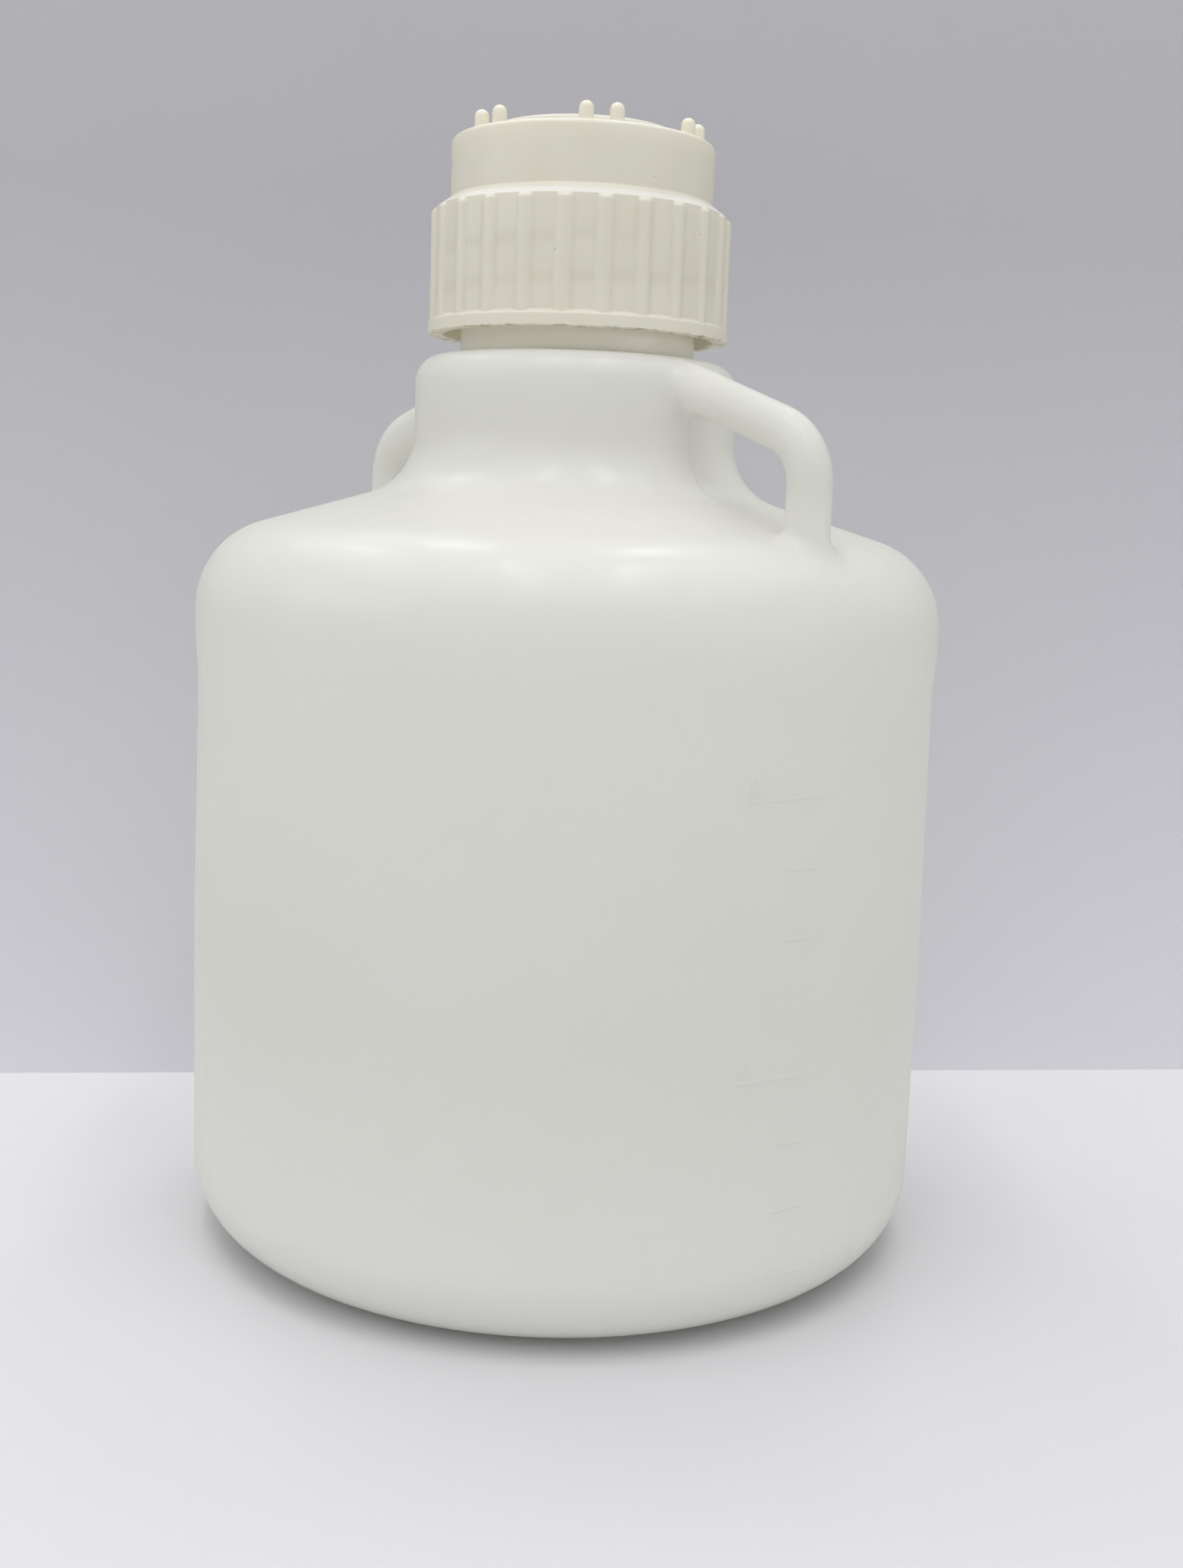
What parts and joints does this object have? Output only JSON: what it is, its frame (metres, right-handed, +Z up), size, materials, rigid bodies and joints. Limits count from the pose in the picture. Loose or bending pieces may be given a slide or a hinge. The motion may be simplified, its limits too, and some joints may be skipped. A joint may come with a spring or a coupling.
{
  "type": "wide-mouth plastic carboy",
  "caption": "Round blow-moulded plastic carboy with shoulder handles and a ribbed screw cap, for storing and pouring liquids in a laboratory.",
  "frame": {"origin": "centre of the foot ring, on the plane the carboy stands on", "axes": "+Z up along the bottle's axis, through the cap; the two shoulder handles lie along +X and -X"},
  "size_m": [0.2516, 0.2516, 0.3722],
  "materials": {
    "natural_plastic": "satin translucent natural polyethylene",
    "cream_plastic": "satin opaque cream polypropylene",
    "soft_silicone": "matte white silicone"
  },
  "bodies": {
    "bottle": {"bottle": "natural_plastic"},
    "gasket": {"cap_gasket": "soft_silicone"},
    "cap": {"screw_cap": "cream_plastic"}
  },
  "joints": [
    {"name": "gasket_lift", "type": "slide", "parent": "bottle", "child": "gasket", "axis": [0, 0, 1], "range_m": [0, 0.01722]},
    {"name": "cap_turn", "type": "hinge", "parent": "gasket", "child": "cap", "pos_m": [0, 0, 0.3036], "axis": [0, 0, 1], "range_deg": [0, 500]}
  ],
  "couplings": [
    {"joint": "gasket_lift", "follows": "cap_turn", "m_per_rad": 0.0019735}
  ]
}
